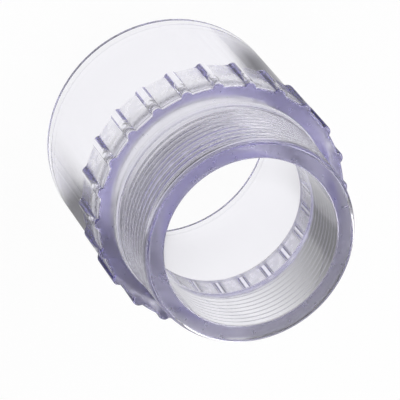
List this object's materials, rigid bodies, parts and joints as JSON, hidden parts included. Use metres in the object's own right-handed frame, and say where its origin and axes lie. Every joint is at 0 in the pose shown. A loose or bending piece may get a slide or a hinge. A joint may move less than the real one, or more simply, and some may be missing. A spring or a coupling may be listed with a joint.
{
  "type": "pvc male adapter",
  "caption": "Clear moulded plastic pipe adapter: plain cement socket at one end, ribbed grip collar, and a male taper pipe thread at the other end.",
  "frame": {"origin": "centre of the socket's mouth, on the plane that the adapter stands on", "axes": "+Z along the axis from the socket towards the threaded end; +X through the middle of one rib"},
  "size_m": [0.073, 0.073, 0.0825],
  "materials": {
    "clear_pvc": "polished, see-through, with a faint violet tint where the plastic is thick"
  },
  "bodies": {
    "root": {"male_adapter": "clear_pvc"}
  },
  "joints": []
}
